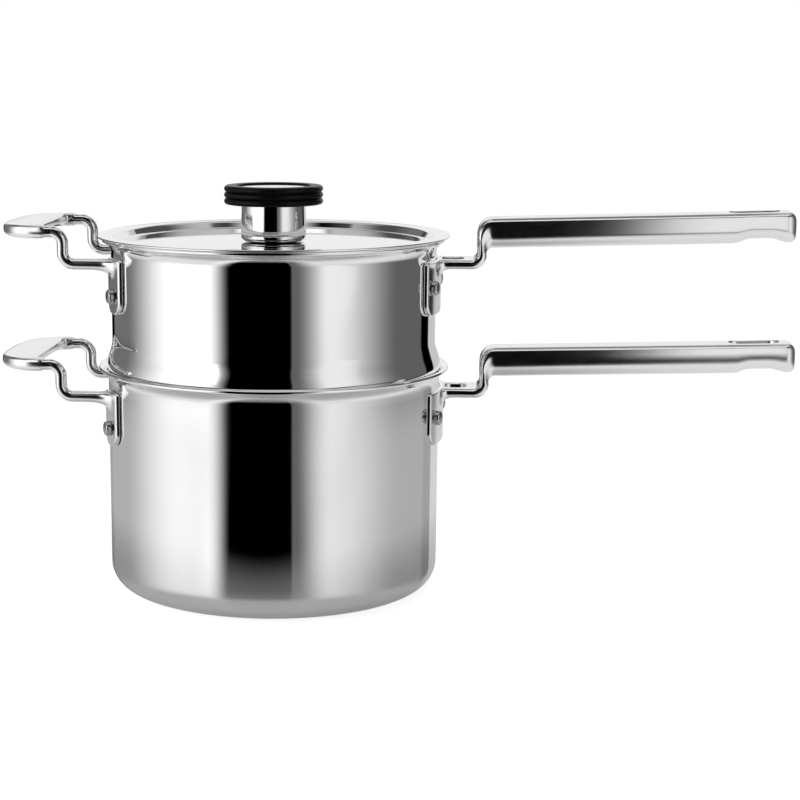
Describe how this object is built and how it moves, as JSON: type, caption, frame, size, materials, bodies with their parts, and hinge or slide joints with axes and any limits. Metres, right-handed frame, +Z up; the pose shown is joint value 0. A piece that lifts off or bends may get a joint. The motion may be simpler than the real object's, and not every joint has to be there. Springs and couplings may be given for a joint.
{
  "type": "steamer pot",
  "caption": "Polished steel saucepan with a stacking steamer insert and a flat lid with a ringed knob; each vessel has a long handle and a loop handle.",
  "frame": {"origin": "centre of the pot's flat underside", "axes": "+Z up along the vessels' axis, +X towards the long handles, -Y towards the viewer"},
  "size_m": [0.4364, 0.1952, 0.2251],
  "materials": {
    "polished_steel": "mirror polished stainless steel",
    "cast_steel": "polished cast stainless steel",
    "rivet_steel": "satin stainless steel",
    "silicone": "satin black silicone"
  },
  "bodies": {
    "pot": {"pot_body": "polished_steel", "pot_long_handle": "cast_steel", "pot_helper_handle": "cast_steel", "pot_long_rivet_front": "rivet_steel", "pot_long_rivet_rear": "rivet_steel", "pot_helper_rivet_front": "rivet_steel", "pot_helper_rivet_rear": "rivet_steel"},
    "steamer": {"steamer_body": "polished_steel", "steamer_long_handle": "cast_steel", "steamer_helper_handle": "cast_steel", "steamer_long_rivet_front": "rivet_steel", "steamer_long_rivet_rear": "rivet_steel", "steamer_helper_rivet_front": "rivet_steel", "steamer_helper_rivet_rear": "rivet_steel"},
    "lid": {"lid_dish": "polished_steel", "knob_cup": "polished_steel", "knob_cap": "polished_steel", "knob_grip_ring": "silicone", "knob_seal": "silicone", "knob_washer": "rivet_steel", "knob_screw": "rivet_steel"}
  },
  "joints": [
    {"name": "steamer_lift", "type": "slide", "parent": "pot", "child": "steamer", "axis": [0, 0, 1], "range_m": [0, 0.15]},
    {"name": "lid_lift", "type": "slide", "parent": "steamer", "child": "lid", "axis": [0, 0, 1], "range_m": [0, 0.12]}
  ]
}
